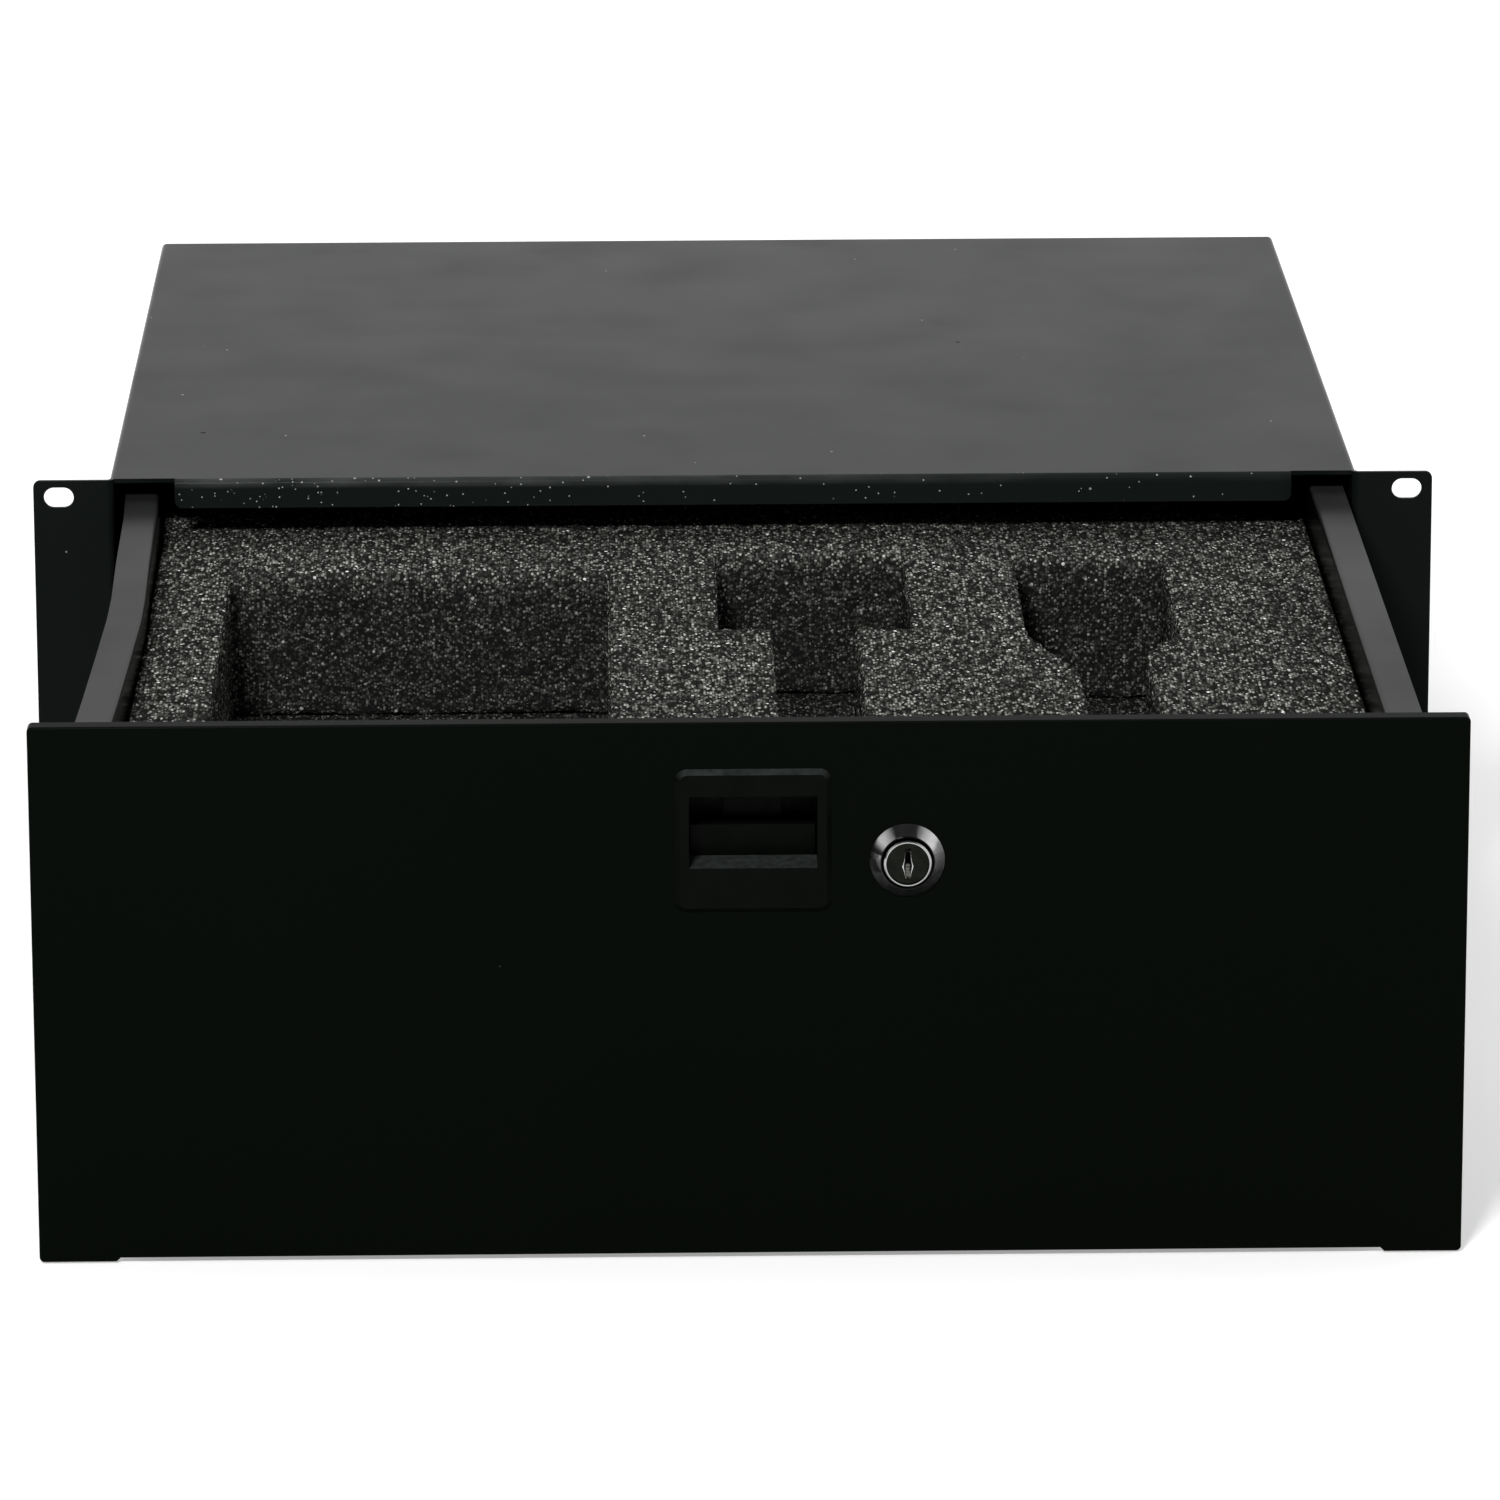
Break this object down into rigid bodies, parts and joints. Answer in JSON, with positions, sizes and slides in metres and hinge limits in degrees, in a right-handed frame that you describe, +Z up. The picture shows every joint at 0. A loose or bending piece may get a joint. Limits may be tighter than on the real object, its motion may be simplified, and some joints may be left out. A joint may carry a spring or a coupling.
{
  "type": "sliding rack drawer",
  "caption": "Rack-mount steel drawer on ball-bearing slides, with a cut foam insert, a slam latch and a cam lock in its front panel.",
  "frame": {"origin": "centre of the four rack slots, on the rear face of the rack ears, which meets the rack's posts", "axes": "+X to the right seen from in front, +Y into the rack, +Z up"},
  "size_m": [0.4826, 0.7201, 0.177],
  "materials": {
    "black_powder_coat": "satin",
    "zinc_plated_steel": "satin",
    "slide_steel": "polished",
    "chrome_plate": "polished",
    "black_plastic": "satin",
    "charcoal_foam": "matte"
  },
  "bodies": {
    "housing": {"housing_wrap": "black_powder_coat", "bottom_pan": "black_powder_coat", "back_panel": "black_powder_coat", "left_outer_rail": "zinc_plated_steel", "right_outer_rail": "zinc_plated_steel", "outer_rail_screws": "zinc_plated_steel"},
    "drawer": {"drawer_tray": "black_powder_coat", "front_panel": "black_powder_coat", "panel_nuts": "zinc_plated_steel", "foam_base_layer": "charcoal_foam", "foam_middle_layer": "charcoal_foam", "foam_cut_layer": "charcoal_foam", "left_inner_rail": "zinc_plated_steel", "right_inner_rail": "zinc_plated_steel", "inner_rail_screws": "zinc_plated_steel", "latch_housing": "black_plastic", "latch_spring": "zinc_plated_steel", "lock_barrel": "chrome_plate", "lock_nut": "chrome_plate"},
    "left_mid_member": {"left_mid_rail": "zinc_plated_steel"},
    "right_mid_member": {"right_mid_rail": "zinc_plated_steel"},
    "left_outer_balls": {"left_outer_ball_cage": "slide_steel"},
    "right_outer_balls": {"right_outer_ball_cage": "slide_steel"},
    "left_inner_balls": {"left_inner_ball_cage": "slide_steel"},
    "right_inner_balls": {"right_inner_ball_cage": "slide_steel"},
    "latch_slider": {"latch_bolt": "black_plastic"},
    "lock_core": {"lock_plug": "chrome_plate", "lock_cam": "zinc_plated_steel", "cam_bolt": "zinc_plated_steel"}
  },
  "joints": [
    {"name": "drawer_slide", "type": "slide", "parent": "housing", "child": "drawer", "axis": [0, -1, 0], "range_m": [-0.3128, 0.0372]},
    {"name": "left_mid_slide", "type": "slide", "parent": "housing", "child": "left_mid_member", "axis": [0, -1, 0], "range_m": [-0.1564, 0.0186]},
    {"name": "left_outer_balls_roll", "type": "slide", "parent": "housing", "child": "left_outer_balls", "axis": [0, -1, 0], "range_m": [-0.0782, 0.0093]},
    {"name": "left_inner_balls_roll", "type": "slide", "parent": "left_mid_member", "child": "left_inner_balls", "axis": [0, -1, 0], "range_m": [-0.0782, 0.0093]},
    {"name": "right_mid_slide", "type": "slide", "parent": "housing", "child": "right_mid_member", "axis": [0, -1, 0], "range_m": [-0.1564, 0.0186]},
    {"name": "right_outer_balls_roll", "type": "slide", "parent": "housing", "child": "right_outer_balls", "axis": [0, -1, 0], "range_m": [-0.0782, 0.0093]},
    {"name": "right_inner_balls_roll", "type": "slide", "parent": "right_mid_member", "child": "right_inner_balls", "axis": [0, -1, 0], "range_m": [-0.0782, 0.0093]},
    {"name": "latch_slide", "type": "slide", "parent": "drawer", "child": "latch_slider", "axis": [0, 0, -1], "range_m": [0, 0.0075], "stiffness_N_per_m": 300, "springref_m": -0.012, "deforming": ["latch_spring"]},
    {"name": "lock_turn", "type": "hinge", "parent": "drawer", "child": "lock_core", "pos_m": [0.049, -0.31, 0.042], "axis": [0, -1, 0], "range_deg": [0, 90]}
  ],
  "couplings": [
    {"joint": "left_mid_slide", "follows": "drawer_slide", "ratio": 0.5},
    {"joint": "left_outer_balls_roll", "follows": "drawer_slide", "ratio": 0.25},
    {"joint": "left_inner_balls_roll", "follows": "drawer_slide", "ratio": 0.25},
    {"joint": "right_mid_slide", "follows": "drawer_slide", "ratio": 0.5},
    {"joint": "right_outer_balls_roll", "follows": "drawer_slide", "ratio": 0.25},
    {"joint": "right_inner_balls_roll", "follows": "drawer_slide", "ratio": 0.25}
  ]
}
